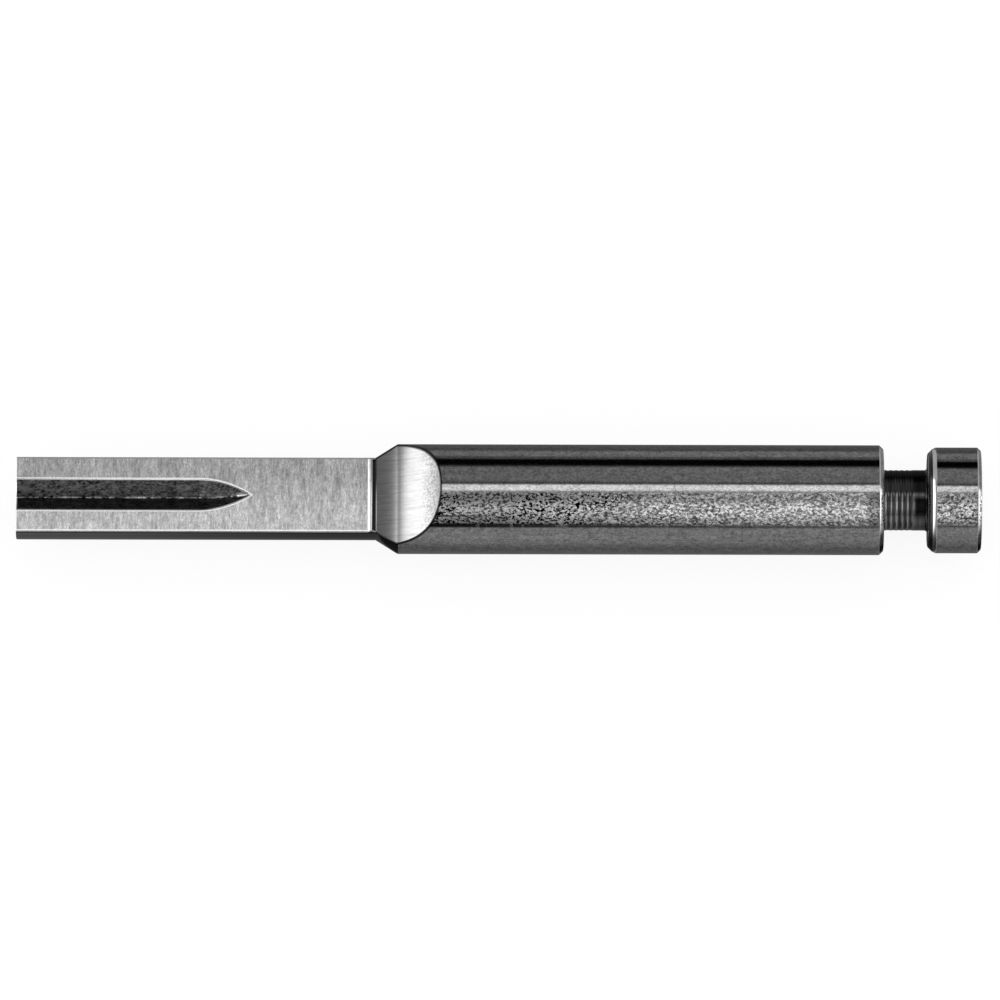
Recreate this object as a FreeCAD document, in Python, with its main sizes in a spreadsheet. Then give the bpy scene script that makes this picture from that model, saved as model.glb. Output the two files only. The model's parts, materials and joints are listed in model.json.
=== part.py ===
"""Interchangeable flat bit for a watchmaker's screwdriver, as a parametric FreeCAD document.

The bit is one piece of hardened steel bar: turned to its round shape, then milled.
Turning gives the blade's round blank, the shoulder cone, the shank, the latch neck and the button.
Milling gives two parallel flats that run out in an arc, a V-groove down each flat, and a drive flat.

Frame: X along the bit, with the tip at -X and the button at +X. The blade's flats face +Z and -Z.
The origin is on the axis, in the middle of the shank. Millimetres and degrees.
"""
import FreeCAD, Part
import Sketcher
import math
import os

NODE = "screwdriver_bit"
LEAST_CUT = 0.01  # cubic millimetres that any cut removes at least

# Driving dimensions: alias, value, meaning.
SIZES = [
    ("shank_dia", 4.0, "diameter of the shank that slides into the handle"),
    ("shank_length", 17.68, "shank, from the shoulder cone to the latch neck"),
    ("shank_chamfer", 0.12, "chamfer at the shank's rear end"),
    ("blade_dia", 3.0, "turned diameter of the blade's blank, which is the blade's width"),
    ("blade_length", 13.07, "blade, from the tip to the shoulder cone"),
    ("shoulder_angle", 32.0, "slope of the shoulder cone, measured from the axis"),
    ("neck_dia", 2.2, "diameter of the latch neck"),
    ("neck_length", 1.60, "latch neck, from the shank to the button"),
    ("neck_fillet", 0.12, "fillet where the neck meets the button"),
    ("button_clear", 0.075, "gap between the button and a bore that the shank just fills"),
    ("button_length", 1.95, "length of the end button"),
    ("button_front_chamfer", 0.17, "chamfer on the button's edge beside the neck"),
    ("button_back_chamfer", 0.09, "chamfer on the button's edge at the end"),
    ("blade_thickness", 1.15, "thickness between the two flats"),
    ("flat_lead", 0.18, "distance from the end of the level flat to the shoulder cone"),
    ("runout_radius", 3.0, "radius of the arc in which each flat runs out"),
    ("groove_web", 0.21, "steel left between the two V-grooves"),
    ("groove_angle", 100.0, "included angle of the V-groove"),
    ("groove_length", 6.63, "the V-groove's full-depth stretch, from the tip"),
    ("groove_cutter_radius", 4.0, "radius of the V cutter, which shapes the groove's tail"),
    ("drive_flat_clear", 0.1, "height of the drive flat above the neck's surface"),
    ("overrun", 1.0, "how far each cut runs past the steel"),
]

doc = FreeCAD.newDocument("watchmaker_bit")
sheet = doc.addObject("Spreadsheet::Sheet", "Sizes")
for row, (alias, value, meaning) in enumerate(SIZES, start=1):
    sheet.set(f"A{row}", alias)
    sheet.set(f"B{row}", str(value))
    sheet.set(f"C{row}", meaning)
    sheet.setAlias(f"B{row}", alias)
doc.recompute()

# Stations along X, as expressions on the sheet.
SHANK_FRONT = "(-Sizes.shank_length / 2)"
SHOULDER = f"({SHANK_FRONT} - (Sizes.shank_dia - Sizes.blade_dia) / 2 / tan(Sizes.shoulder_angle))"
TIP = f"({SHOULDER} - Sizes.blade_length)"
BEFORE_TIP = f"({TIP} - Sizes.overrun)"
FLAT_END = f"({SHOULDER} - Sizes.flat_lead)"
GROOVE_END = f"({TIP} + Sizes.groove_length)"
SHANK_BACK = "(Sizes.shank_length / 2)"
NECK_MIDDLE = f"({SHANK_BACK} + Sizes.neck_length / 2)"
BUTTON_FRONT = f"({SHANK_BACK} + Sizes.neck_length)"
BUTTON_BACK = f"({BUTTON_FRONT} + Sizes.button_length)"
PAST_BUTTON = f"({BUTTON_BACK} + Sizes.overrun)"

# Radii, and heights above the axis.
BLADE_R = "(Sizes.blade_dia / 2)"
SHANK_R = "(Sizes.shank_dia / 2)"
NECK_R = "(Sizes.neck_dia / 2)"
BUTTON_R = f"({SHANK_R} - Sizes.button_clear)"
FLAT_Z = "(Sizes.blade_thickness / 2)"
ABOVE_FLAT = f"({FLAT_Z} + Sizes.overrun)"
ABOVE_BAR = f"({SHANK_R} + Sizes.overrun)"
GROOVE_Z = "(Sizes.groove_web / 2)"
DRIVE_Z = f"(-{NECK_R} - Sizes.drive_flat_clear)"
BELOW_BAR = f"(-{SHANK_R} - Sizes.overrun)"


def reach(radius, rise):
    """How far along X an arc that starts level has gone when it has risen by this much."""
    return f"sqrt({radius} ^ 2 - ({radius} - {rise}) ^ 2)"


RUNOUT_END = f"({FLAT_END} + {reach('Sizes.runout_radius', f'({ABOVE_BAR} - {FLAT_Z})')})"
TAIL_END = f"({GROOVE_END} + {reach('Sizes.groove_cutter_radius', f'({ABOVE_FLAT} - {GROOVE_Z})')})"
GROOVE_HALF = f"(({ABOVE_FLAT} - {GROOVE_Z}) * tan(Sizes.groove_angle / 2))"


def origin_plane(role):
    """One of the body's own origin planes, by its role."""
    return next(feature for feature in body.Origin.OriginFeatures if feature.Role == role)


def number(expression):
    """The present value of an expression on the sheet."""
    result = sheet.evalExpression(expression)
    return float(getattr(result, "Value", result))


def bind(sketch, kind, expression, *where):
    """Adds one dimension to a sketch and ties it to an expression."""
    index = sketch.addConstraint(Sketcher.Constraint(kind, *where, number(expression)))
    sketch.setExpression(f"Constraints[{index}]", expression)


def bind_point(sketch, edge, end, place):
    """Ties one end of an edge to its place, both ways from the sketch's origin."""
    bind(sketch, "DistanceX", place[0], -1, 1, edge, end)
    bind(sketch, "DistanceY", place[1], -1, 1, edge, end)


def add_edge(sketch, place, following):
    """A line to the following place, or an arc that starts level where a place names a radius."""
    start, end = (FreeCAD.Vector(number(at[0]), number(at[1]), 0) for at in (place, following))
    if len(place) == 2:
        return sketch.addGeometry(Part.LineSegment(start, end), False)
    radius = number(place[2])
    centre = start + FreeCAD.Vector(0, radius, 0)
    last = math.atan2(end.y - centre.y, end.x - centre.x)
    circle = Part.Circle(centre, FreeCAD.Vector(0, 0, 1), radius)
    edge = sketch.addGeometry(Part.ArcOfCircle(circle, -math.pi / 2, last), False)
    bind(sketch, "Radius", place[2], edge)
    return edge


def add_sketch(name, role, places, closed=True):
    """A fully tied sketch on an origin plane: edges from each place to the next."""
    sketch = body.newObject("Sketcher::SketchObject", name)
    sketch.AttachmentSupport = [(origin_plane(role), "")]
    sketch.MapMode = "FlatFace"
    ends = places[1:] + places[:1] if closed else places[1:]
    edges = [add_edge(sketch, place, following) for place, following in zip(places, ends)]
    for edge, following in zip(edges, edges[1:] + edges[:1] if closed else edges[1:]):
        sketch.addConstraint(Sketcher.Constraint("Coincident", edge, 2, following, 1))
    for edge, place in zip(edges, places):
        bind_point(sketch, edge, 1, place)
    if not closed:
        bind_point(sketch, edges[-1], 2, places[-1])
    doc.recompute()
    return sketch


def finish_cut(feature):
    """Makes a cut the body's tip, and stops if it took no steel away."""
    before = body.Shape.Volume
    body.Tip = feature
    doc.recompute()
    removed = before - body.Shape.Volume
    print(f"{feature.Label} removes {removed:.3f} mm3")
    if removed < LEAST_CUT:
        raise RuntimeError(f"{feature.Label} cut nothing")


def cut_through(name, sketch):
    """A pocket that goes right through the bit, both ways from the sketch."""
    pocket = body.newObject("PartDesign::Pocket", name)
    pocket.Profile = sketch
    pocket.Type = "ThroughAll"
    pocket.SideType = "Symmetric"
    finish_cut(pocket)
    return pocket


body = doc.addObject("PartDesign::Body", NODE)

# Turned blank: half the bit's outline, from the tip round to the button, spun about X.
outline = add_sketch("TurnedOutline", "XZ_Plane", [
    (TIP, "0"),
    (TIP, BLADE_R),
    (SHOULDER, BLADE_R),
    (SHANK_FRONT, SHANK_R),
    (f"{SHANK_BACK} - Sizes.shank_chamfer", SHANK_R),
    (SHANK_BACK, f"{SHANK_R} - Sizes.shank_chamfer"),
    (SHANK_BACK, NECK_R),
    (f"{BUTTON_FRONT} - Sizes.neck_fillet", NECK_R, "Sizes.neck_fillet"),
    (BUTTON_FRONT, f"{NECK_R} + Sizes.neck_fillet"),
    (BUTTON_FRONT, f"{BUTTON_R} - Sizes.button_front_chamfer"),
    (f"{BUTTON_FRONT} + Sizes.button_front_chamfer", BUTTON_R),
    (f"{BUTTON_BACK} - Sizes.button_back_chamfer", BUTTON_R),
    (BUTTON_BACK, f"{BUTTON_R} - Sizes.button_back_chamfer"),
    (BUTTON_BACK, "0"),
])
turned = body.newObject("PartDesign::Revolution", "Turned")
turned.Profile = outline
turned.ReferenceAxis = (outline, ["H_Axis"])
turned.Angle = 360
body.Tip = turned
doc.recompute()
print(f"{turned.Label} blank has {body.Shape.Volume:.3f} mm3")

# Upper flat: level from the tip, then an arc up and out through the cone into the shank.
upper_flat = cut_through("UpperFlat", add_sketch("FlatOutline", "XZ_Plane", [
    (BEFORE_TIP, FLAT_Z),
    (FLAT_END, FLAT_Z, "Sizes.runout_radius"),
    (RUNOUT_END, ABOVE_BAR),
    (BEFORE_TIP, ABOVE_BAR),
]))

# Upper V-groove: a V swept along the flat's middle, then up the arc of the cutter's rim.
groove_path = add_sketch("GroovePath", "XZ_Plane", [
    (BEFORE_TIP, GROOVE_Z),
    (GROOVE_END, GROOVE_Z, "Sizes.groove_cutter_radius"),
    (TAIL_END, ABOVE_FLAT),
], closed=False)
groove_section = add_sketch("GrooveSection", "YZ_Plane", [
    ("0", GROOVE_Z),
    (GROOVE_HALF, ABOVE_FLAT),
    (f"-{GROOVE_HALF}", ABOVE_FLAT),
])
groove_section.setExpression("AttachmentOffset.Base.z", BEFORE_TIP)
doc.recompute()
upper_groove = body.newObject("PartDesign::SubtractivePipe", "UpperGroove")
upper_groove.Profile = groove_section
upper_groove.Spine = (groove_path, ["Edge1", "Edge2"])
finish_cut(upper_groove)

# Both cuts again on the underside.
lower_side = body.newObject("PartDesign::Mirrored", "LowerSide")
lower_side.Originals = [upper_flat, upper_groove]
lower_side.MirrorPlane = (origin_plane("XY_Plane"), [""])
finish_cut(lower_side)

# Drive flat: one side of the button milled away, just clear of the neck.
cut_through("DriveFlat", add_sketch("DriveOutline", "XZ_Plane", [
    (NECK_MIDDLE, DRIVE_Z),
    (NECK_MIDDLE, BELOW_BAR),
    (PAST_BUTTON, BELOW_BAR),
    (PAST_BUTTON, DRIVE_Z),
]))

for item in doc.Objects:
    if {"Invalid", "Error"} & set(item.State):
        raise RuntimeError(f"{item.Label} failed: {item.State}")
    if item.isDerivedFrom("Sketcher::SketchObject") and item.solve() != 0:
        raise RuntimeError(f"{item.Label} can't be solved")

shape = body.Shape
if shape.isNull() or not shape.isValid() or len(shape.Solids) != 1:
    raise RuntimeError(f"{NODE} isn't one valid solid")
size = shape.BoundBox
print(f"{NODE}: {size.XLength:.3f} x {size.YLength:.3f} x {size.ZLength:.3f} mm, {len(shape.Faces)} faces")
os.makedirs("parts", exist_ok=True)
shape.exportStep(f"parts/{NODE}.step")
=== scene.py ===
# %% [markdown]
# # A watchmaker's screwdriver bit
# The real thing is one piece of hardened steel, 35 mm long: a flat blade, a round shank, and a neck with
# a button that a spring latch in the handle grips. A maker turns the round shape first and mills the rest
# after, and this lesson follows the same order: turn, mill, break the edges, then give each surface the
# finish its tool leaves. Blender works in metres, and a piece this small is easier to think about in
# millimetres, so the shape is made in millimetres and shrunk once at the end.

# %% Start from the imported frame
import json
import math

import bmesh
import bpy
from mathutils import Matrix, Vector


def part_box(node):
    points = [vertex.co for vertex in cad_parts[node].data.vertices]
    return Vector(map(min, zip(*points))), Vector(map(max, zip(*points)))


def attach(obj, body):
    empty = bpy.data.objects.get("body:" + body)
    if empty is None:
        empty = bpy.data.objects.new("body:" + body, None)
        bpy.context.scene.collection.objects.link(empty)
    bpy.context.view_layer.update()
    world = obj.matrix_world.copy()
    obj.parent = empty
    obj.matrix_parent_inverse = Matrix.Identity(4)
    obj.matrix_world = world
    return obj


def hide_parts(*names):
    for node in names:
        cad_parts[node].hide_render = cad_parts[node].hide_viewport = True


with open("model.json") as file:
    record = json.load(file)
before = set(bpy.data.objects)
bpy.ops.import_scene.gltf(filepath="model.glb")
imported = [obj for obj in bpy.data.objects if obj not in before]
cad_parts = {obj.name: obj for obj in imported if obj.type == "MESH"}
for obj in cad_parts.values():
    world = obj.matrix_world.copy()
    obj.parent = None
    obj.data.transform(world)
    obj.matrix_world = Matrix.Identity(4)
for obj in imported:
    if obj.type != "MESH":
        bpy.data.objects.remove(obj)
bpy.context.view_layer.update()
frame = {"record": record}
NODE = "screwdriver_bit"
MM = 0.001
low, high = (Vector(corner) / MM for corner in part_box(NODE))
print(f"frame: {NODE} from x = {low.x:.2f} to {high.x:.2f} mm, {high.y - low.y:.2f} mm across")

# %% [markdown]
# ## Sizes
# Whatever the frame can tell is read from it: where the tip and the button's end are, the shank's radius,
# the neck, and the height of the drive flat. The rest are the maker's own numbers for cuts that the frame
# doesn't list, each written once.

# %% Sizes, in millimetres
mounts = {mount["name"]: mount for mount in frame["record"]["mounts"]}
shank_r = mounts["shank"]["dims"]["r_mm"]
neck_r = mounts["latch_neck"]["dims"]["r_mm"]
neck_length = mounts["latch_neck"]["dims"]["length_mm"]
neck_middle = mounts["latch_neck"]["pos_m"][0] / MM
drive_z = mounts["drive_flat"]["pos_m"][2] / MM

tip_x = low.x
button_back = high.x
shank_back = neck_middle - neck_length / 2
button_front = neck_middle + neck_length / 2

blade_r = 1.5
blade_length = 13.07
shoulder_angle = math.radians(32)
shank_chamfer = 0.15
neck_fillet = 0.12
button_clear = 0.075
button_r = shank_r - button_clear
button_front_chamfer = 0.17
button_back_chamfer = 0.13
lip_length = 0.13
lip_drop = 0.062
lip_edge = 0.02
shoulder_x = tip_x + blade_length
shank_front = shoulder_x + (shank_r - blade_r) / math.tan(shoulder_angle)

blade_thickness = 1.15
flat_z = blade_thickness / 2
flat_lead = 0.18
flat_end = shoulder_x - flat_lead
runout_r = 3.0
groove_web = 0.21
groove_z = groove_web / 2
groove_half_angle = math.radians(50)
groove_length = 6.63
groove_end = tip_x + groove_length
cutter_r = 4.0
overrun = 1.0
print(f"sizes: blade {2 * blade_r} x {2 * flat_z} mm, shank {2 * shank_r} mm, neck {2 * neck_r} mm")

# %% [markdown]
# ## Turning the blank
# On a lathe the bit is an outline spun about its axis, and Blender's spin operator does the same thing.
# The outline lists only the corners; the fillet beside the button is an arc, and the fine rings that the
# tool leaves on the neck are a ripple worked out by a formula, because they are deep enough to catch light.
# Behind the button's front chamfer the outline climbs once more, on a short and gentle slope. That is the
# lip, and its bright finish is a painted highlight.

# %% Finishes that the surfaces will get, in slot order
FINISHES = ["shank", "blade_side", "flat", "runout", "groove", "neck", "button", "faced_end", "edge", "rim"]
SLOT = {finish: number for number, finish in enumerate(FINISHES)}
print("finishes:", ", ".join(FINISHES))


# %% Helpers that draw an outline and make an object
def arc_points(centre_x, centre_z, radius, start, end, count):
    """Points on an arc from one direction to another, in degrees, both ends included."""
    angles = [math.radians(start + (end - start) * step / count) for step in range(count + 1)]
    return [(centre_x + radius * math.cos(a), centre_z + radius * math.sin(a)) for a in angles]


def make_object(bm, name):
    """Turns a finished bmesh into an object in the scene."""
    bmesh.ops.recalc_face_normals(bm, faces=bm.faces)
    mesh = bpy.data.meshes.new(name)
    bm.to_mesh(mesh)
    bm.free()
    for finish in FINISHES:
        mesh.materials.append(bpy.data.materials.get(finish))
    made = bpy.data.objects.new(name, mesh)
    bpy.context.scene.collection.objects.link(made)
    return made


SAME_POINT = 1e-5
print(f"outline helpers are ready; points closer than {SAME_POINT} mm count as one")


# %% The turned outline, from the tip to the button
ring_pitch = 0.2
ring_depth = 0.014
ring_count = 5
ring_steps = 10
rings_start = shank_back + 0.07
fillet_steps = 8
lip_front = button_front + button_front_chamfer
lip_back = lip_front + lip_length
lip_end = lip_back + lip_edge

outline = [(tip_x, 0), (tip_x, blade_r), (shoulder_x, blade_r), (shank_front, shank_r)]
outline += [(shank_back - shank_chamfer, shank_r), (shank_back, shank_r - shank_chamfer)]
outline += [(shank_back, neck_r)]
for step in range(ring_count * ring_steps + 1):
    ripple = ring_depth * math.sin(math.pi * step / ring_steps) ** 2
    outline += [(rings_start + ring_pitch * step / ring_steps, neck_r - ripple)]
fillet_middle = (button_front - neck_fillet, neck_r + neck_fillet)
outline += arc_points(*fillet_middle, neck_fillet, -90, 0, fillet_steps)
outline += [(button_front, button_r - lip_drop - button_front_chamfer)]
outline += [(lip_front, button_r - lip_drop), (lip_back, button_r), (lip_end, button_r)]
outline += [(button_back - button_back_chamfer, button_r), (button_back, button_r - button_back_chamfer)]
outline += [(button_back, 0)]
print(f"outline: {len(outline)} points, {ring_count} rings on the neck")

# %% Spin it
TURNS = 124
bm = bmesh.new()
points = [bm.verts.new((x, 0, z)) for x, z in outline]
edges = [bm.edges.new(pair) for pair in zip(points, points[1:])]
bmesh.ops.spin(
    bm, geom=points + edges, cent=(0, 0, 0), axis=(1, 0, 0), angle=math.tau, steps=TURNS,
    use_merge=True,
)
bmesh.ops.remove_doubles(bm, verts=bm.verts, dist=SAME_POINT)


def turned_finish(face):
    """Which finish a turned face has, from where it is and which way it looks."""
    middle = face.calc_center_median()
    if abs(face.normal.x) > 0.99:
        return "faced_end"
    if middle.x > lip_end:
        return "button"
    if middle.x > button_front:
        # The lip gets the bright edge finish, a painted highlight; the front chamfer gets the dark rim
        # finish, a painted shade.
        return "edge" if middle.x > lip_front else "rim"
    if middle.x > shank_back:
        return "neck"
    return "shank" if middle.x > shank_front else "blade_side"


bm.normal_update()
for face in bm.faces:
    face.material_index = SLOT[turned_finish(face)]
bit = make_object(bm, "screwdriver_bit_steel")
print(f"turned blank: {len(bit.data.polygons)} faces")

# %% [markdown]
# ## Milling
# Each cut is made as the shop makes it: a solid of the space that the cutter sweeps, taken away with a
# Boolean modifier. The exact solver gives clean edges where the cut meets the round bar, and each cutter
# carries the finish that it leaves, so the cut faces arrive already sorted.


# %% Helpers for cutting
def mill(piece, cutter):
    """Takes the cutter's space away from the piece, then drops the cutter."""
    cut = piece.modifiers.new("cut", "BOOLEAN")
    cut.operation = "DIFFERENCE"
    cut.solver = "EXACT"
    cut.material_mode = "INDEX"
    cut.object = cutter
    evaluated = piece.evaluated_get(bpy.context.evaluated_depsgraph_get())
    piece.data = bpy.data.meshes.new_from_object(evaluated)
    piece.modifiers.clear()
    print(f"{cutter.name}: the bit now has {len(piece.data.polygons)} faces")
    bpy.data.objects.remove(cutter)


def prism(outline, half_width):
    """A solid made by extruding an outline in the XZ plane across Y."""
    bm = bmesh.new()
    side = bm.faces.new([bm.verts.new((x, -half_width, z)) for x, z in outline])
    moved = bmesh.ops.extrude_face_region(bm, geom=[side])["geom"]
    across = [part for part in moved if isinstance(part, bmesh.types.BMVert)]
    bmesh.ops.translate(bm, verts=across, vec=(0, 2 * half_width, 0))
    return bm


def turn_over(bm):
    """Mirrors a cutter from the upper side to the under side."""
    bmesh.ops.scale(bm, verts=bm.verts, vec=(1, 1, -1))


print("cutting helpers are ready")

# %% [markdown]
# ### The flats, their burrs and their run-outs
# One cutter makes each flat: it runs level from the tip, then the rim of the milling wheel leaves an arc up
# through the cone into the shank. Where the two meet, the wheel pushes up a low ridge of steel, a burr. The
# burr is a dent in the cutter's outline, which costs nothing, while a ridge added afterwards would have to
# be joined on. Its front slope gets the bright edge finish, a painted highlight. The arc is drawn in two
# parts, so that one of its points falls exactly where the cone meets the shank.

# %% The two flats, each with its run-out arc
burr_height = 0.07
burr_crest = flat_end + 0.04
burr_front = burr_crest - 0.146
burr_foot = burr_front + 0.02
foot_height = 0.012
burr_back = flat_end + 0.184
BLADE_ARC_STEPS = 16
SHANK_ARC_STEPS = 48
before_tip = tip_x - overrun
above_bar = shank_r + overrun
runout_centre_z = flat_z + runout_r
runout_start = math.degrees(math.asin((burr_back - flat_end) / runout_r)) - 90
runout_at_shank = math.degrees(math.asin((shank_front - flat_end) / runout_r)) - 90
runout_end = math.degrees(math.asin((above_bar - runout_centre_z) / runout_r))


def milled_finish(x):
    """Which finish the flat's cutter leaves: the flat, the burr's bright front slope, then the run-out."""
    if x < burr_front:
        return "flat"
    return "edge" if x < burr_crest else "runout"


for upper in (True, False):
    side = [(before_tip, flat_z), (burr_front, flat_z), (burr_foot, flat_z + foot_height)]
    side += [(burr_crest, flat_z + burr_height)]
    wheel = (flat_end, runout_centre_z, runout_r)
    side += arc_points(*wheel, runout_start, runout_at_shank, BLADE_ARC_STEPS)
    side += arc_points(*wheel, runout_at_shank, runout_end, SHANK_ARC_STEPS)[1:]
    side += [(before_tip, above_bar)]
    bm = prism(side, above_bar)
    for face in bm.faces:
        face.material_index = SLOT[milled_finish(face.calc_center_median().x)]
    if not upper:
        turn_over(bm)
    mill(bit, make_object(bm, "upper_flat_cutter" if upper else "lower_flat_cutter"))

# %% [markdown]
# ### The grooves
# A V-shaped wheel cuts a groove down the middle of each flat. The cutter is its section, extruded along the
# blade and then spun a little way round the wheel's hub, so that the groove's tail rises in the wheel's own
# arc and narrows to a point.

# %% The two V-grooves, each ending in the arc of the V cutter's rim
groove_root = 0.015
groove_top = flat_z + overrun
groove_half = (groove_top - groove_z) * math.tan(groove_half_angle)
tail_angle = math.acos((cutter_r - (groove_top - groove_z)) / cutter_r)
TAIL_STEPS = 32

for upper in (True, False):
    bm = bmesh.new()
    section = [(-groove_root, groove_z), (groove_root, groove_z)]
    section += [(groove_half, groove_top), (-groove_half, groove_top)]
    start = bm.faces.new([bm.verts.new((before_tip, y, z)) for y, z in section])
    moved = bmesh.ops.extrude_face_region(bm, geom=[start])["geom"]
    reached = [part for part in moved if isinstance(part, bmesh.types.BMVert)]
    bmesh.ops.translate(bm, verts=reached, vec=(groove_end - before_tip, 0, 0))
    hub = (groove_end, 0, groove_z + cutter_r)
    bmesh.ops.spin(bm, geom=moved, cent=hub, axis=(0, -1, 0), angle=tail_angle, steps=TAIL_STEPS)
    bmesh.ops.remove_doubles(bm, verts=bm.verts, dist=SAME_POINT)
    for face in bm.faces:
        face.material_index = SLOT["groove"]
    if not upper:
        turn_over(bm)
    print("open edges in the V cutter:", sum(len(edge.link_faces) != 2 for edge in bm.edges))
    mill(bit, make_object(bm, "upper_groove_cutter" if upper else "lower_groove_cutter"))

# %% [markdown]
# ### The drive flat
# A round button would slip in the handle, so one side of it is milled flat. A plain block is all the cutter
# it needs.

# %% The drive flat on the button
bm = bmesh.new()
bmesh.ops.create_cube(bm, size=1)
drive_length = button_back + overrun - neck_middle
bmesh.ops.scale(bm, verts=bm.verts, vec=(drive_length, 2 * above_bar, above_bar + drive_z))
drive_centre = (neck_middle + drive_length / 2, 0, (drive_z - above_bar) / 2)
bmesh.ops.translate(bm, verts=bm.verts, vec=drive_centre)
for face in bm.faces:
    face.material_index = SLOT["flat"]
mill(bit, make_object(bm, "drive_flat_cutter"))

# %% [markdown]
# ## Breaking the edges
# No steel edge is perfectly sharp: the maker takes each one off by a few hundredths of a millimetre, and
# that thin rounded strip is what catches the light. The bevel operator rounds every edge that turns by
# more than a set angle. Slivers that the cuts left beside an edge are merged first, so that the strip
# stays even. The strip's faces get a finish of their own: dark round the run-outs, a painted shade along
# the cut, and bright everywhere else, a painted highlight.
#
# The exact solver may hand back the same mesh with its points in another order on each run, and which
# slivers get merged depends on that order. So the mesh is sorted by place first, and the shape repeats.


# %% A helper that puts a mesh in a fixed order
def put_in_order(bm):
    """Sorts the points by place, then the edges and faces by their points."""
    by_place = sorted(bm.verts, key=lambda vert: vert.co[:])
    bm.verts.sort(key={vert: rank for rank, vert in enumerate(by_place)}.get)
    bm.verts.index_update()
    for parts in (bm.edges, bm.faces):
        by_points = sorted(parts, key=lambda part: sorted(vert.index for vert in part.verts))
        parts.sort(key={part: rank for rank, part in enumerate(by_points)}.get)
        parts.index_update()
    print(f"sorted {len(bm.verts)} points, {len(bm.edges)} edges and {len(bm.faces)} faces")


# %% Round the sharp edges
EDGE_BREAK = 0.03
SLIVER = 0.006
SHARP = math.radians(28)
LEVEL = math.radians(0.05)

bm = bmesh.new()
bm.from_mesh(bit.data)
put_in_order(bm)
bmesh.ops.remove_doubles(bm, verts=bm.verts, dist=SLIVER)
bmesh.ops.dissolve_degenerate(bm, dist=SLIVER / 10, edges=bm.edges)
bmesh.ops.dissolve_limit(bm, angle_limit=LEVEL, verts=bm.verts, edges=bm.edges, delimit={"MATERIAL"})
sharp = [edge for edge in bm.edges if edge.is_convex and edge.calc_face_angle(0) > SHARP]
rounded = bmesh.ops.bevel(
    bm, geom=sharp, offset=EDGE_BREAK, offset_type="OFFSET", segments=3, profile=0.5,
    affect="EDGES", clamp_overlap=False, material=-1,
)
# Rounded edges round the run-outs get the rim finish, a painted shade; all others get the edge finish, a
# painted highlight.
for face in rounded["faces"]:
    on_rim = burr_back < face.calc_center_median().x < shank_front + runout_r
    face.material_index = SLOT["rim" if on_rim else "edge"]
print(f"edge break: {len(sharp)} sharp edges became {len(rounded['faces'])} faces")

# %% Shrink to metres and let flat faces keep their own shading
bmesh.ops.scale(bm, verts=bm.verts, vec=(MM, MM, MM))
bmesh.ops.recalc_face_normals(bm, faces=bm.faces)
open_edges = sum(len(edge.link_faces) != 2 for edge in bm.edges)
for face in bm.faces:
    face.smooth = True
bm.to_mesh(bit.data)
bm.free()
shading = bit.modifiers.new("weighted normals", "WEIGHTED_NORMAL")
shading.mode = "FACE_AREA"
shading.weight = 50
shading.keep_sharp = True
print(f"bit: {len(bit.data.polygons)} faces, {open_edges} open edges")

# %% [markdown]
# ## Materials: the tools that build them
# The whole bit is one steel, so what tells its surfaces apart is the tool that made them: a grinding wheel
# leaves fine scratches across the flats, a lathe leaves rings, a latch rubs pits, and bright spots among the
# pits are painted glints. Each finish is a metal shader whose colour and roughness come from patterns laid
# out in millimetres on the piece itself. Patterns that several finishes need are node groups with named
# inputs and outputs.


# %% Helpers that add nodes
def node(tree, kind, inputs=None, **options):
    """Adds a node, sets its options, and gives its inputs a value or another node's output."""
    made = tree.nodes.new(kind)
    for name, value in options.items():
        setattr(made, name, value)
    for name, value in (inputs or {}).items():
        if isinstance(value, bpy.types.NodeSocket):
            tree.links.new(value, made.inputs[name])
        else:
            made.inputs[name].default_value = value
    return made


def calc(tree, operation, *values):
    """A Math node's result."""
    return node(tree, "ShaderNodeMath", dict(enumerate(values)), operation=operation).outputs[0]


def fade(tree, value, start, end):
    """0 at start and 1 at end, with a smooth change between them; start may be the larger one."""
    inputs = {"Value": value, "From Min": start, "From Max": end}
    return node(tree, "ShaderNodeMapRange", inputs, interpolation_type="SMOOTHSTEP").outputs["Result"]


def spread(tree, value, low, high):
    """Stretches a value that runs from 0 to 1 so that it runs from low to high."""
    inputs = {"Value": value, "To Min": low, "To Max": high}
    return node(tree, "ShaderNodeMapRange", inputs).outputs["Result"]


def blend(tree, factor, first, second):
    """The first value at 0 and the second at 1."""
    return node(tree, "ShaderNodeMix", {"Factor": factor, "A": first, "B": second}).outputs["Result"]


def stretched(tree, place, along, across, height):
    """Coordinates with more or fewer pattern cells to the millimetre along each axis."""
    inputs = {0: place, 1: (along, across, height)}
    return node(tree, "ShaderNodeVectorMath", inputs, operation="MULTIPLY").outputs["Vector"]


def noise(tree, place, scale, detail, roughness=0.5):
    """A cloudy pattern from about 0 to 1, with its number of clouds to the unit and its fineness."""
    inputs = {"Vector": place, "Scale": scale, "Detail": detail, "Roughness": roughness}
    return node(tree, "ShaderNodeTexNoise", inputs).outputs["Fac"]


def new_group(name, inputs, outputs):
    """Starts a node group and gives back its tree, its input node and its output node."""
    tree = bpy.data.node_groups.new(name, "ShaderNodeTree")
    for socket, kind in inputs.items():
        tree.interface.new_socket(socket, in_out="INPUT", socket_type=kind)
    for socket, kind in outputs.items():
        tree.interface.new_socket(socket, in_out="OUTPUT", socket_type=kind)
    return tree, tree.nodes.new("NodeGroupInput"), tree.nodes.new("NodeGroupOutput")


FLOAT = "NodeSocketFloat"
VECTOR = "NodeSocketVector"
print("node helpers are ready")
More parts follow.
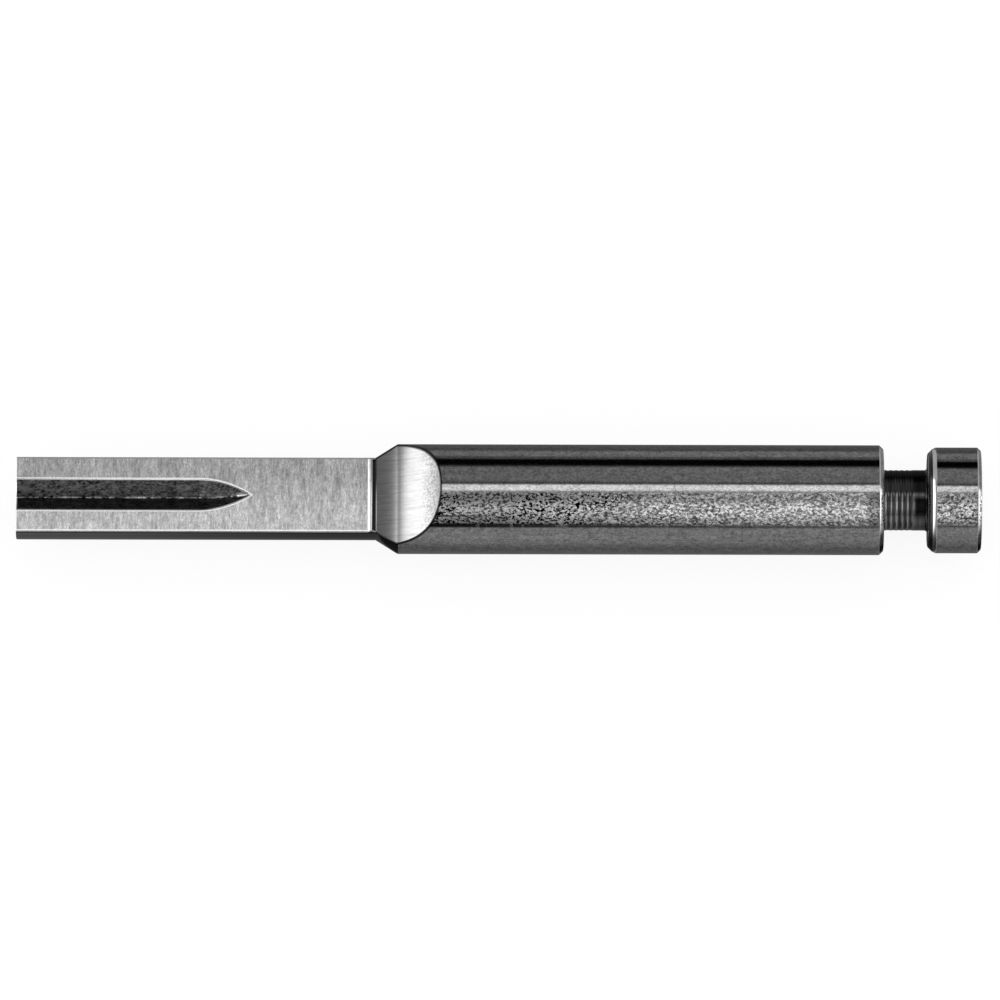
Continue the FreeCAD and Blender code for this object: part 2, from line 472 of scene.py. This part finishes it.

# %% [markdown]
# ### Where a point is on the bar
# Wear on a round bar is easiest to place by its angle round the axis: 0 degrees on top, positive towards
# the front. The arctangent gives it from the two coordinates across the bar. A second group measures how
# far a point lies below the milled cut, so that shade can be painted along the edge of the cut.

# %% Node group: place on the bar
measures = dict.fromkeys(["Along", "Front", "Up", "Angle", "Radius"], FLOAT)
group, given, result = new_group("place_on_bar", {"Place": VECTOR}, measures)
axes = node(group, "ShaderNodeSeparateXYZ", {"Vector": given.outputs["Place"]}).outputs
front = calc(group, "MULTIPLY", axes["Y"], -1)
angle = calc(group, "DEGREES", calc(group, "ARCTAN2", front, axes["Z"]))
squares = calc(group, "ADD", calc(group, "POWER", axes["Y"], 2), calc(group, "POWER", axes["Z"], 2))
radius = calc(group, "SQRT", squares)
for socket, value in zip(measures, [axes["X"], front, axes["Z"], angle, radius]):
    group.links.new(value, result.inputs[socket])
print("group:", group.name)

# %% Node group: depth below the cut
group, given, result = new_group("below_cut", {"Along": FLOAT, "Up": FLOAT}, {"Depth": FLOAT})
into_arc = calc(group, "MAXIMUM", calc(group, "SUBTRACT", given.outputs["Along"], flat_end), 0)
square = calc(group, "SUBTRACT", runout_r ** 2, calc(group, "POWER", into_arc, 2))
drop = calc(group, "SQRT", calc(group, "MAXIMUM", square, 0))
cut_height = calc(group, "SUBTRACT", runout_centre_z, drop)
depth = calc(group, "SUBTRACT", cut_height, calc(group, "ABSOLUTE", given.outputs["Up"]))
group.links.new(depth, result.inputs["Depth"])
print("group:", group.name)

# %% [markdown]
# ### Tool marks
# Scratches from a wheel or a file are noise that is squeezed one way and stretched the other. Two layers,
# one fine and one coarse, keep the streaks from looking like a regular comb.

# %% Node group: tool marks
group, given, result = new_group("tool_marks", {"Place": VECTOR, "Depth": FLOAT}, {"Shade": FLOAT})
fine = calc(group, "MULTIPLY", noise(group, given.outputs["Place"], 1, 3, 0.7), 1.4)
coarse = calc(group, "MULTIPLY", noise(group, given.outputs["Place"], 0.35, 2), 0.6)
both = calc(group, "ADD", fine, coarse)
swing = calc(group, "MULTIPLY", calc(group, "SUBTRACT", both, 1), given.outputs["Depth"])
group.links.new(calc(group, "ADD", swing, 1), result.inputs["Shade"])
print("group:", group.name)

# %% [markdown]
# ### Scuffs
# Where the bit has rubbed in its holder the surface is broken into dark pits, and bright spots that are
# painted glints on the worn grain; each is about a tenth of a millimetre and a little longer than it is
# wide. Two noise fields, one for each, are cut off at a level, so that only their peaks show.

# %% Node group: scuffs
inputs = {"Place": VECTOR, "Amount": FLOAT}
group, given, result = new_group("scuffs", inputs, {"Pits": FLOAT, "Rubs": FLOAT})
OTHER_FIELD = (31.7, 12.1, 5.3)
cells = stretched(group, given.outputs["Place"], 9, 13, 13)
moved = node(group, "ShaderNodeVectorMath", {0: cells, 1: OTHER_FIELD}, operation="ADD")
pitted = fade(group, noise(group, cells, 1, 2, 0.6), 0.49, 0.57)
# The second field gives the bright spots, which are painted glints.
highlighted = fade(group, noise(group, moved.outputs["Vector"], 0.9, 2, 0.6), 0.47, 0.58)
pits = calc(group, "MULTIPLY", pitted, given.outputs["Amount"])
glints = calc(group, "MULTIPLY", highlighted, given.outputs["Amount"])
group.links.new(pits, result.inputs["Pits"])
group.links.new(glints, result.inputs["Rubs"])
print("group:", group.name)


# %% Helpers that place the groups and start a finish
def placed(tree, name, **inputs):
    """Puts a node group in a tree and gives back its outputs."""
    return node(tree, "ShaderNodeGroup", inputs, node_tree=bpy.data.node_groups[name]).outputs


def new_finish(name, roughness):
    """Starts a steel finish: gives back its tree, its shader and the place in millimetres."""
    material = bpy.data.materials.new(name)
    material.use_nodes = True
    tree = material.node_tree
    shader = tree.nodes["Principled BSDF"]
    shader.inputs["Metallic"].default_value = 1
    shader.inputs["Roughness"].default_value = roughness
    metres = node(tree, "ShaderNodeTexCoord").outputs["Object"]
    place = node(tree, "ShaderNodeVectorMath", {0: metres, "Scale": 1 / MM}, operation="SCALE")
    return tree, shader, place.outputs["Vector"]


def marks(tree, place, depth, along, across, height):
    """Tool marks with the given number of scratches to the millimetre along each axis."""
    cells = stretched(tree, place, along, across, height)
    return placed(tree, "tool_marks", Place=cells, Depth=depth)["Shade"]


def finish_with(tree, shader, shade, roughness=None, height=None, relief=0):
    """Gives the shader its colour from a shade, and roughness and bump where they are wanted."""
    tree.links.new(shade, shader.inputs["Base Color"])
    if roughness:
        tree.links.new(roughness, shader.inputs["Roughness"])
    if height:
        bump = node(tree, "ShaderNodeBump", {"Height": height, "Strength": 1, "Distance": relief * MM})
        tree.links.new(bump.outputs["Normal"], shader.inputs["Normal"])


def product(tree, *shades):
    """Several shades, multiplied together."""
    total = shades[0]
    for shade in shades[1:]:
        total = calc(tree, "MULTIPLY", total, shade)
    return total


def shade_below_cut(tree, where, start, end, darkest):
    """Painted shade on the round surface by its depth below the cut: as dark as the darkest value near the
    cut, then 1.
    """
    below = placed(tree, "below_cut", Along=where["Along"], Up=where["Up"])["Depth"]
    return spread(tree, fade(tree, below, start, end), darkest, 1)


STEEL = 0.42
# This bright colour paints highlights on the broken edges and glints in the worn strips.
HIGHLIGHT_STEEL = 0.95
PIT = 0.10
# This colour paints shade along the milled cut.
CUT_SHADE = 0.12
print(f"steel reflects {STEEL:.0%}, rubbed bright {HIGHLIGHT_STEEL:.0%}")

# %% [markdown]
# ### The shank and the button
# Both are ground round and rubbed along one side, which wears the surface into a grainy strip from 7 to 43
# degrees round from the top, with painted glints among its pits. Other sides carry weaker strips of their
# own. Between the strips the ground surface is smooth enough to mirror the room, with faint lines along the
# bar. Two thin dark lines run along the worn strip too, broken into dashes: the first is a painted
# reflection of a dark line in the room, and the second is a scratch. Painted shade darkens the steel just
# below the milled cut.

# %% Finish: shank and button
STRIPS = [(25, 18, 1.0), (152, 16, 0.7), (-98, 15, 0.6)]
# The first dark line is a painted reflection of the room's dark gap, which the rough strip would blur; the
# second is a scratch.
DARK_LINES = [(42.6, 2.4, 9), (32.2, 1.2, -3)]


def worn_strips(tree, where, place):
    """How worn the surface is, from 0 to 1: the strips, each a little patchy."""
    worn = 0
    for middle, half_width, strength in STRIPS:
        away = calc(tree, "ABSOLUTE", calc(tree, "SUBTRACT", where["Angle"], middle))
        one = calc(tree, "MULTIPLY", fade(tree, away, half_width + 1, half_width - 2), strength)
        worn = calc(tree, "MAXIMUM", worn, one)
    return product(tree, worn, spread(tree, fade(tree, noise(tree, place, 0.7, 1), 0.3, 0.6), 0.75, 1))


def dark_lines(tree, where):
    """1 where the steel is free of the dashed dark lines, and nearly 0 on them."""
    free = 1
    for middle, half_width, last in DARK_LINES:
        away = calc(tree, "ABSOLUTE", calc(tree, "SUBTRACT", where["Angle"], middle))
        along = node(tree, "ShaderNodeCombineXYZ", {"X": where["Along"], "Y": middle}).outputs["Vector"]
        dashes = fade(tree, noise(tree, along, 2.6, 2), 0.34, 0.42)
        line = product(tree, fade(tree, away, half_width * 1.5, half_width * 0.5), dashes)
        line = calc(tree, "MULTIPLY", line, fade(tree, where["Along"], last, shank_front))
        free = calc(tree, "MULTIPLY", free, calc(tree, "MULTIPLY_ADD", line, -0.95, 1))
    return free


print(f"the round surfaces have {len(STRIPS)} worn strips and {len(DARK_LINES)} dark lines")


# %% Finishes: shank and button
def worn_round(name, front_glints, back_glints, front_pits, back_pits, worn_to):
    """A ground round surface with scuffed strips and painted glints. Glints and pits change from front to
    back.
    """
    tree, shader, place = new_finish(name, 0.1)
    where = placed(tree, "place_on_bar", Place=place)
    strip = worn_strips(tree, where, place)
    worn = placed(tree, "scuffs", Place=place, Amount=strip)
    towards_back = fade(tree, where["Along"], -8, 8)
    ground = product(tree, marks(tree, place, 0.4, 0.12, 7, 7), marks(tree, place, 1.6, 11, 15, 15))
    highlighted = fade(tree, where["Along"], worn_to + 0.1, worn_to - 0.1)
    # Painted glints on the worn strip, changing from front to back.
    glints = product(tree, worn["Rubs"], spread(tree, towards_back, front_glints, back_glints), highlighted)
    lit = calc(tree, "MULTIPLY_ADD", glints, HIGHLIGHT_STEEL - STEEL, calc(tree, "MULTIPLY", ground, STEEL))
    without_glints = calc(tree, "SUBTRACT", 1, highlighted)
    pitting = calc(tree, "MAXIMUM", spread(tree, towards_back, front_pits, back_pits), without_glints)
    pits = calc(tree, "MULTIPLY", worn["Pits"], pitting)
    # Painted shade just below the milled cut.
    painted_shade = shade_below_cut(tree, where, 0.06, 0.13, CUT_SHADE)
    unpitted = calc(tree, "MULTIPLY_ADD", pits, PIT - 1, 1)
    shade = product(tree, lit, unpitted, painted_shade, dark_lines(tree, where))
    roughness = calc(tree, "MULTIPLY_ADD", strip, 0.12, 0.1)
    finish_with(tree, shader, shade, roughness, calc(tree, "SUBTRACT", 0.5, worn["Pits"]), 0.002)


worn_round("shank", 0.0, 2.3, 1.3, 0.75, 8.24)
worn_round("button", 1.6, 2.1, 1.0, 0.9, 13)
print("finishes made: shank, button")

# %% [markdown]
# ### The blade's sides
# What is left of the turned blade beside the flats was never rubbed, so it has faint lines along the bar
# and no scuffs. It gets darker towards the shoulder, with painted shade below the cut, and the cone beyond
# it is a little brighter.

# %% Finish: the blade's round sides and the shoulder cone
tree, shader, place = new_finish("blade_side", 0.16)
where = placed(tree, "place_on_bar", Place=place)
along_bar = marks(tree, place, 0.4, 0.15, 6, 6)
darker = spread(tree, fade(tree, where["Along"], tip_x, shoulder_x), 0.86, 0.3)
# Painted shade below the cut.
painted_shade = shade_below_cut(tree, where, 0.07, 0.16, 3 * CUT_SHADE)
on_cone = spread(tree, fade(tree, where["Along"], shoulder_x, shoulder_x + 0.05), 1, 1.35)
shade = product(tree, along_bar, darker, painted_shade, calc(tree, "MULTIPLY", on_cone, STEEL))
finish_with(tree, shader, shade)
print("finish made: blade side")

# %% [markdown]
# ### The blade's flats
# A surface grinder runs across the blade, so its scratches run from side to side, a dozen or more to the
# millimetre and each a different grey. The steel is a little brighter towards the front edge. The front
# edge and both edges of the groove carry a painted highlight, a bright line, and the rear edge is a little
# darker. How far a point is from the groove's edge is worked out from the shape of the V cutter, so that
# the bright line follows the tail as it narrows.

# %% Finish: flat
blade_half = math.sqrt(blade_r ** 2 - flat_z ** 2)
HIGHLIGHT_WIDTH = 0.06
SOFT = 0.03
tree, shader, place = new_finish("flat", 0.22)
where = placed(tree, "place_on_bar", Place=place)
cross_ground = product(tree, marks(tree, place, 1.2, 14, 3, 14), marks(tree, place, 1.0, 19, 11, 19))
sparse = marks(tree, place, 0.5, 4, 0.5, 4)
towards_front = spread(tree, fade(tree, where["Front"], -0.8, 0.8), 0.41, 0.56)
land = product(tree, cross_ground, sparse, towards_front)
rear_edge = spread(tree, fade(tree, where["Front"], 2 * SOFT - blade_half, SOFT - blade_half), 1, 0.7)
# Painted highlights: bright lines along the front edge and both edges of the groove.
front_edge_highlight = fade(tree, where["Front"], blade_half - HIGHLIGHT_WIDTH - SOFT, blade_half - HIGHLIGHT_WIDTH)
past = calc(tree, "MAXIMUM", calc(tree, "SUBTRACT", where["Along"], groove_end), 0)
climb = calc(tree, "SQRT", calc(tree, "SUBTRACT", cutter_r ** 2, calc(tree, "POWER", past, 2)))
groove_depth = calc(tree, "SUBTRACT", climb, cutter_r - (flat_z - groove_z))
groove_edge = calc(tree, "MULTIPLY", groove_depth, math.tan(groove_half_angle))
beside = calc(tree, "SUBTRACT", calc(tree, "ABSOLUTE", where["Front"]), groove_edge)
groove_rim_highlight = calc(tree, "MULTIPLY", fade(tree, beside, HIGHLIGHT_WIDTH + SOFT, HIGHLIGHT_WIDTH), 0.85)
highlighted = calc(tree, "MAXIMUM", front_edge_highlight, groove_rim_highlight)
shade = blend(tree, highlighted, calc(tree, "MULTIPLY", land, rear_edge), 1)
finish_with(tree, shader, shade, height=cross_ground, relief=0.001)
print("finish made: flat")

# %% [markdown]
# ### The run-out
# The round edge of the milling wheel leaves the scoop at the end of each flat. It is smooth, with fine
# lines along the bar where grit has been dragged out of the cut, and pits where it climbs into the shank.
# Painted shade fills the corner behind the burr and lies along the rear rim, where the scoop meets the cone.

# %% Finish: run-out
tree, shader, place = new_finish("runout", 0.16)
where = placed(tree, "place_on_bar", Place=place)
dragged = product(tree, marks(tree, place, 0.4, 0, 13, 0), marks(tree, place, 0.4, 2.5, 12, 2.5))
at_the_back = fade(tree, where["Along"], shank_front + 0.7, shank_front + 1.2)
worn = placed(tree, "scuffs", Place=place, Amount=at_the_back)
# Painted shade in the corner behind the burr.
corner = spread(tree, fade(tree, where["Along"], burr_back - 0.02, burr_back + 0.08), 0.08, 1)
cone_slope = math.tan(shoulder_angle)
cone_r = calc(tree, "MULTIPLY_ADD", where["Along"], cone_slope, blade_r - shoulder_x * cone_slope)
from_rim = calc(tree, "SUBTRACT", calc(tree, "MINIMUM", cone_r, shank_r), where["Radius"])
# Painted shade along the rear rim.
rear_rim_shade = calc(tree, "MULTIPLY", fade(tree, from_rim, 0.09, 0.04), fade(tree, where["Front"], -0.6, -1.2))
painted_shade = product(tree, corner, calc(tree, "MULTIPLY_ADD", rear_rim_shade, CUT_SHADE - 1, 1))
pitted = calc(tree, "MULTIPLY_ADD", worn["Pits"], -0.16, 0.46)
finish_with(tree, shader, product(tree, dragged, pitted, painted_shade))
print("finish made: run-out")

# %% [markdown]
# ### The groove
# The V-groove is darker than the rest: its walls still carry the blackening of the heat treatment, patchy
# on the rear wall and nearly whole on the front one, and a painted glint runs along its bottom in dashes.

# %% Finish: groove
tree, shader, place = new_finish("groove", 0.3)
where = placed(tree, "place_on_bar", Place=place)
patchy = marks(tree, place, 4, 9, 14, 14)
wall = spread(tree, fade(tree, where["Front"], 0.02, -0.05), 0.06, 0.17)
# A painted glint along the groove's bottom, broken into dashes.
glint_dashes = fade(tree, noise(tree, stretched(tree, place, 2.5, 0.2, 0.2), 1, 2), 0.42, 0.58)
bottom = fade(tree, calc(tree, "ABSOLUTE", where["Front"]), 0.05, groove_root)
bottom_glint = product(tree, bottom, glint_dashes, calc(tree, "MULTIPLY", patchy, 0.6))
shade = calc(tree, "ADD", calc(tree, "MULTIPLY", patchy, wall), bottom_glint)
finish_with(tree, shader, shade, height=patchy, relief=0.002)
print("finish made: groove")

# %% [markdown]
# ### The neck
# The latch runs in the neck, which was left as turned. It is nearly black at the rear and brighter on the
# front, where the rings are darker at their bottoms; all of this is painted shade. A painted dark reflection
# lies beside the button.

# %% Finish: neck
tree, shader, place = new_finish("neck", 0.2)
where = placed(tree, "place_on_bar", Place=place)
turned = marks(tree, place, 1.6, 7, 0.3, 0.3)
# Painted shade: nearly black at the rear, brighter on the front.
rear_shade = spread(tree, fade(tree, where["Angle"], -36, -24), 0.004, 0.08)
towards_front = calc(tree, "MULTIPLY_ADD", fade(tree, where["Angle"], -2, 12), 0.42, rear_shade)
# A painted dark reflection beside the button.
in_dark_reflection = calc(tree, "MULTIPLY", fade(tree, where["Angle"], 3, 14), fade(tree, where["Angle"], 60, 36))
near_button = fade(tree, where["Along"], shank_back + 0.92, shank_back + 1.2)
dark_reflection = calc(tree, "SUBTRACT", 1, calc(tree, "MULTIPLY", near_button, spread(tree, in_dark_reflection, 0.62, 0.98)))
# Painted shade in the bottoms of the rings, on the front.
turns = calc(tree, "DIVIDE", calc(tree, "SUBTRACT", where["Along"], rings_start), ring_pitch)
in_ring = calc(tree, "POWER", calc(tree, "SINE", calc(tree, "MULTIPLY", turns, math.pi)), 2)
ringed = fade(tree, turns, ring_count, ring_count - 0.5)
on_front = fade(tree, where["Angle"], -4, 10)
rings = calc(tree, "MULTIPLY_ADD", product(tree, in_ring, ringed, on_front), -0.88, 1)
finish_with(tree, shader, product(tree, turned, towards_front, dark_reflection, rings), height=turned, relief=0.0005)
print("finish made: neck")

# %% [markdown]
# ### End faces and broken edges
# A faced end has the tool's rings round its middle. The broken edges are brighter than anything else: a
# painted highlight. The run-outs' rims and the button's front chamfer are the exception: they are nearly
# black, a painted shade.

# %% Finish: faced end
tree, shader, place = new_finish("faced_end", 0.24)
where = placed(tree, "place_on_bar", Place=place)
outwards = calc(tree, "MULTIPLY", where["Radius"], 9)
across_rings = node(tree, "ShaderNodeCombineXYZ", {"X": outwards}).outputs["Vector"]
rings = placed(tree, "tool_marks", Place=across_rings, Depth=0.6)["Shade"]
finish_with(tree, shader, calc(tree, "MULTIPLY", rings, STEEL), height=rings, relief=0.002)
print("finish made: faced end")

# %% Finishes: edge and rim
# The edge finish paints highlights on the rounded edges; the rim finish paints shade on the run-outs' rims
# and the button's front chamfer.
for name, shade in (("edge", HIGHLIGHT_STEEL), ("rim", 0.05)):
    tree, shader, place = new_finish(name, 0.15)
    nicks = marks(tree, place, 0.5, 3, 3, 3)
    finish_with(tree, shader, calc(tree, "MULTIPLY", nicks, shade))
print("finishes made: edge, rim")

# %% Fill the bit's slots, and let it stand for the CAD solid
for number, finish in enumerate(FINISHES):
    bit.data.materials[number] = bpy.data.materials[finish]
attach(bit, "root")
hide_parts(NODE)
print(f"{bit.name}: {len(bit.data.materials)} finishes")

# %% [markdown]
# ## The room
# Polished steel has no colour of its own to show: it shows the room. The room here is drawn in the world
# shader. Long panels lie beside the bar, each listed below with the angles at which it starts and ends, in
# degrees round the bar, and its brightness. Only reflections see the room. The floor and the background
# see plain white.

# %% The panels, from behind and below, over the top, to the front and below
PANELS = [
    ("far floor", -180, -112, 0.12),
    ("far wall", -107, -90, 0.28),
    ("far corner", -86, -80.5, 0.13),
    ("black flag", -79.5, -62, 0.001),
    ("far card", -56.5, -24, 0.25),
    ("slot", -22, -18, 0.09),
    ("strip lamp", -15.5, -6, 1.4),
    ("ceiling", -2, 19, 0.38),
    ("soft window", 23, 49, 0.86),
    ("near card", 54, 67, 0.40),
    ("gap", 70, 74, 0.13),
    ("near wall", 78, 106, 0.36),
    ("near floor", 140, 180, 0.16),
]
world = bpy.data.worlds.new("studio")
bpy.context.scene.world = world
world.use_nodes = True
tree = world.node_tree
tree.nodes.clear()
towards = node(tree, "ShaderNodeTexCoord").outputs["Generated"]
axes = node(tree, "ShaderNodeSeparateXYZ", {"Vector": towards}).outputs
angle = calc(tree, "ARCTAN2", calc(tree, "MULTIPLY", axes["Y"], -1), axes["Z"])
turn = calc(tree, "ADD", calc(tree, "DIVIDE", angle, math.tau), 0.5)


def brightness_ramp(value, stops):
    """A colour ramp through grey stops, each a position from 0 to 1 and a brightness."""
    made = node(tree, "ShaderNodeValToRGB", {"Fac": value})
    points = made.color_ramp.elements
    while len(points) < len(stops):
        points.new(1)
    for point, (position, brightness) in zip(points, stops):
        point.position = position
        point.color = (brightness, brightness, brightness, 1)
    return made.outputs["Color"]


stops = [(angle / 360 + 0.5, brightness) for _, start, end, brightness in PANELS for angle in (start, end)]
sides = brightness_ramp(turn, stops)
print(f"room: {len(PANELS)} panels along the bar")

# %% [markdown]
# ### The walls beyond the two ends
# A surface that slants towards one end, such as the cone or the run-out, looks past the panels and sees the
# room beyond that end. A wall is drawn there as a row of brightnesses, by how much the view slants. Low down
# it gets darker, and towards the sides it gives way to a plain grey.

# %% The walls beyond the two ends
BESIDE_WALL = 0.34
FRONT_WALL = [(0.13, 0.16), (0.45, 0.23), (0.57, 0.32), (0.65, 0.62), (0.675, 1.25), (0.77, 2.0), (1, 2.3)]
BACK_WALL = [(0.1, 0.2), (0.28, 0.05), (0.5, 0.05), (0.58, 0.4), (0.74, 0.5), (0.82, 1.8), (1, 2.2)]


def end_wall(slant, stops, rear_limit):
    """Brightness of the room beyond one end, by how much a direction slants that way."""
    height = spread(tree, fade(tree, axes["Z"], -0.6, 0.35), 0.15, 1)
    wall = calc(tree, "MULTIPLY", brightness_ramp(slant, stops), height)
    rear_side = fade(tree, axes["Y"], rear_limit + 0.05, rear_limit - 0.05)
    front_side = fade(tree, axes["Y"], -0.97, -0.9)
    return blend(tree, calc(tree, "MULTIPLY", rear_side, front_side), BESIDE_WALL, wall)


to_front = calc(tree, "MULTIPLY", axes["X"], -1)
front_wall = end_wall(to_front, FRONT_WALL, 0.47)
back_wall = end_wall(axes["X"], BACK_WALL, 0.2)
ends = blend(tree, calc(tree, "GREATER_THAN", axes["X"], 0), front_wall, back_wall)
slanted = calc(tree, "MAXIMUM", fade(tree, to_front, 0.12, 0.16), fade(tree, axes["X"], 0.2, 0.32))
room = blend(tree, slanted, sides, ends)
reflected = node(tree, "ShaderNodeLightPath").outputs["Is Glossy Ray"]
strength = blend(tree, reflected, 1, room)
light = node(tree, "ShaderNodeBackground", {"Color": (1, 1, 1, 1), "Strength": strength})
tree.links.new(light.outputs[0], node(tree, "ShaderNodeOutputWorld").inputs["Surface"])
world.cycles.sampling_method = "NONE"
print("room: a wall beyond each end")

# %% [markdown]
# ## The floor
# The bit lies on a plain pale sheet. Most of the sheet's brightness is its own, so that it stays even, and
# the rest is reflected light, which leaves a faint shadow where the bit touches it. The steel doesn't
# mirror the sheet, because the panels already hold a floor.

# %% The floor
FLOOR_HALF = 0.6
OWN_LIGHT = 0.88
bm = bmesh.new()
bmesh.ops.create_grid(bm, x_segments=1, y_segments=1, size=FLOOR_HALF)
bmesh.ops.translate(bm, verts=bm.verts, vec=(0, 0, low.z * MM))
sheet = bpy.data.meshes.new("floor")
bm.to_mesh(sheet)
bm.free()
floor = bpy.data.objects.new("floor", sheet)
bpy.context.scene.collection.objects.link(floor)
floor.visible_glossy = False
paper = bpy.data.materials.new("paper")
paper.use_nodes = True
shader = paper.node_tree.nodes["Principled BSDF"]
shader.inputs["Base Color"].default_value = (0.14, 0.14, 0.14, 1)
shader.inputs["Roughness"].default_value = 1
shader.inputs["Specular IOR Level"].default_value = 0
shader.inputs["Emission Color"].default_value = (1, 1, 1, 1)
shader.inputs["Emission Strength"].default_value = OWN_LIGHT
sheet.materials.append(paper)
print(f"floor: at z = {low.z:.2f} mm")

# %% [markdown]
# ## The camera
# A long lens from nearly overhead, leaning 14.5 degrees towards the front, looks at the middle of the bit.
# Such a view shows both the flat on top and a sliver of the blade's side. The camera stands more than half
# a metre away, because perspective from near by would make the bit's two ends bulge.

# %% The camera
AIM = Vector((-5.11, -0.025, 0))
DISTANCE = 540
LENS = 534
ELEVATION = math.radians(75.5)
ROLL = math.radians(0.14)
lens = bpy.data.cameras.new("camera")
lens.lens = LENS
lens.sensor_width = 36
lens.clip_start = 0.01
lens.clip_end = 10
camera = bpy.data.objects.new("camera", lens)
bpy.context.scene.collection.objects.link(camera)
back = Vector((0, -math.cos(ELEVATION), math.sin(ELEVATION)))
turned_to = back.to_track_quat("Z", "Y").to_matrix().to_4x4() @ Matrix.Rotation(ROLL, 4, "Z")
camera.matrix_world = Matrix.Translation((AIM + back * DISTANCE) * MM) @ turned_to
bpy.context.scene.camera = camera
bpy.context.scene.view_settings.view_transform = "Standard"
print(f"camera: {DISTANCE:.1f} mm away, {math.degrees(ELEVATION):.1f} degrees up")
